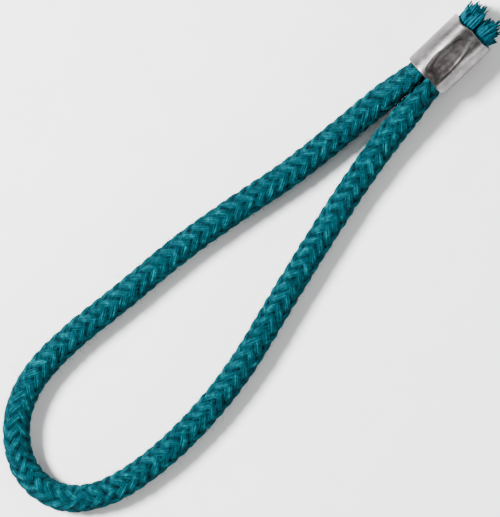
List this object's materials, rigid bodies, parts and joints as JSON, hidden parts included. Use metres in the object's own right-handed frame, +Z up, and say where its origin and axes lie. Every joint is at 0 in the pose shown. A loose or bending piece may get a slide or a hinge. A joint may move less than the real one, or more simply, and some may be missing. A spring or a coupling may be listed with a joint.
{
  "type": "crimped cord loop",
  "caption": "Short loop of round braided cord over filler yarns, both ends pressed side by side into a dented metal ferrule with frayed tips.",
  "frame": {"origin": "on the surface under the middle of the object's bounding box, with the loop lying flat", "axes": "+X along the ferrule, away from the loop; +Y towards the left leg; +Z up, out of the side with the crimp dent"},
  "size_m": [0.1208, 0.0319, 0.009],
  "materials": {
    "ferrule_metal": "satin",
    "cord_braid": "matte",
    "cord_core": "matte",
    "cut_yarn": "matte"
  },
  "bodies": {
    "root": {"ferrule": "ferrule_metal", "sheath_loop": "cord_braid", "core_yarn_1": "cord_core", "core_yarn_2": "cord_core", "core_yarn_3": "cord_core", "core_yarn_4": "cord_core", "left_leg": "cord_braid", "right_leg": "cord_braid", "left_frayed_end": "cut_yarn", "right_frayed_end": "cut_yarn"}
  },
  "joints": []
}
